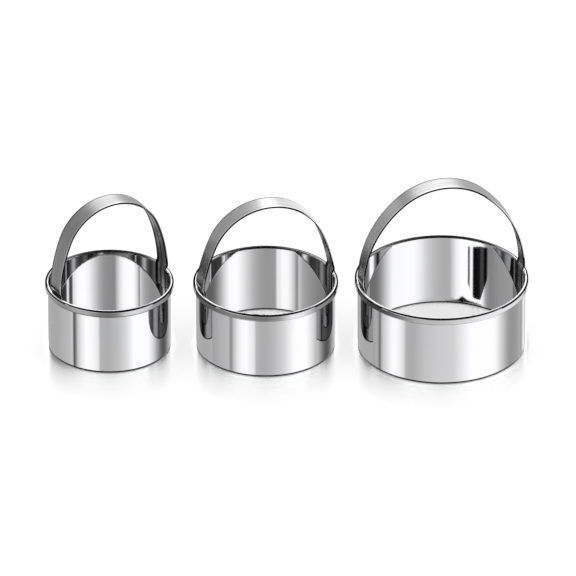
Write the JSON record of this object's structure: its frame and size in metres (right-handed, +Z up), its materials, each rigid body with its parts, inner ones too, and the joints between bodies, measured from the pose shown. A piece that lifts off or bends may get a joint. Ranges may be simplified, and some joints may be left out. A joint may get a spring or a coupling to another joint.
{
  "type": "round biscuit cutter set",
  "caption": "Set of graduated round biscuit cutters in polished steel, each an open ring with a curled rim and a flat strap handle arched over it.",
  "frame": {"origin": "middle of the row of cutters on the surface that they stand on", "axes": "+Z up, +X along the row from the small cutter to the large one, +Y away from the viewer"},
  "size_m": [0.2364, 0.085, 0.0892],
  "materials": {
    "polished_sheet": "mirror-polished stainless steel sheet",
    "satin_strap": "fine satin stainless steel strip",
    "weld_metal": "ground weld metal"
  },
  "bodies": {
    "medium_cutter": {"medium_ring": "polished_sheet", "medium_handle": "satin_strap", "medium_seam_weld": "weld_metal", "medium_left_spot_welds": "weld_metal", "medium_right_spot_welds": "weld_metal"},
    "small_cutter": {"small_ring": "polished_sheet", "small_handle": "satin_strap", "small_seam_weld": "weld_metal", "small_left_spot_welds": "weld_metal", "small_right_spot_welds": "weld_metal"},
    "large_cutter": {"large_ring": "polished_sheet", "large_handle": "satin_strap", "large_seam_weld": "weld_metal", "large_left_spot_welds": "weld_metal", "large_right_spot_welds": "weld_metal"}
  },
  "joints": [
    {"name": "small_lift", "type": "slide", "parent": "medium_cutter", "child": "small_cutter", "axis": [0, 0, 1], "range_m": [0, 0.1]},
    {"name": "large_lift", "type": "slide", "parent": "medium_cutter", "child": "large_cutter", "axis": [0, 0, 1], "range_m": [0, 0.1]}
  ]
}
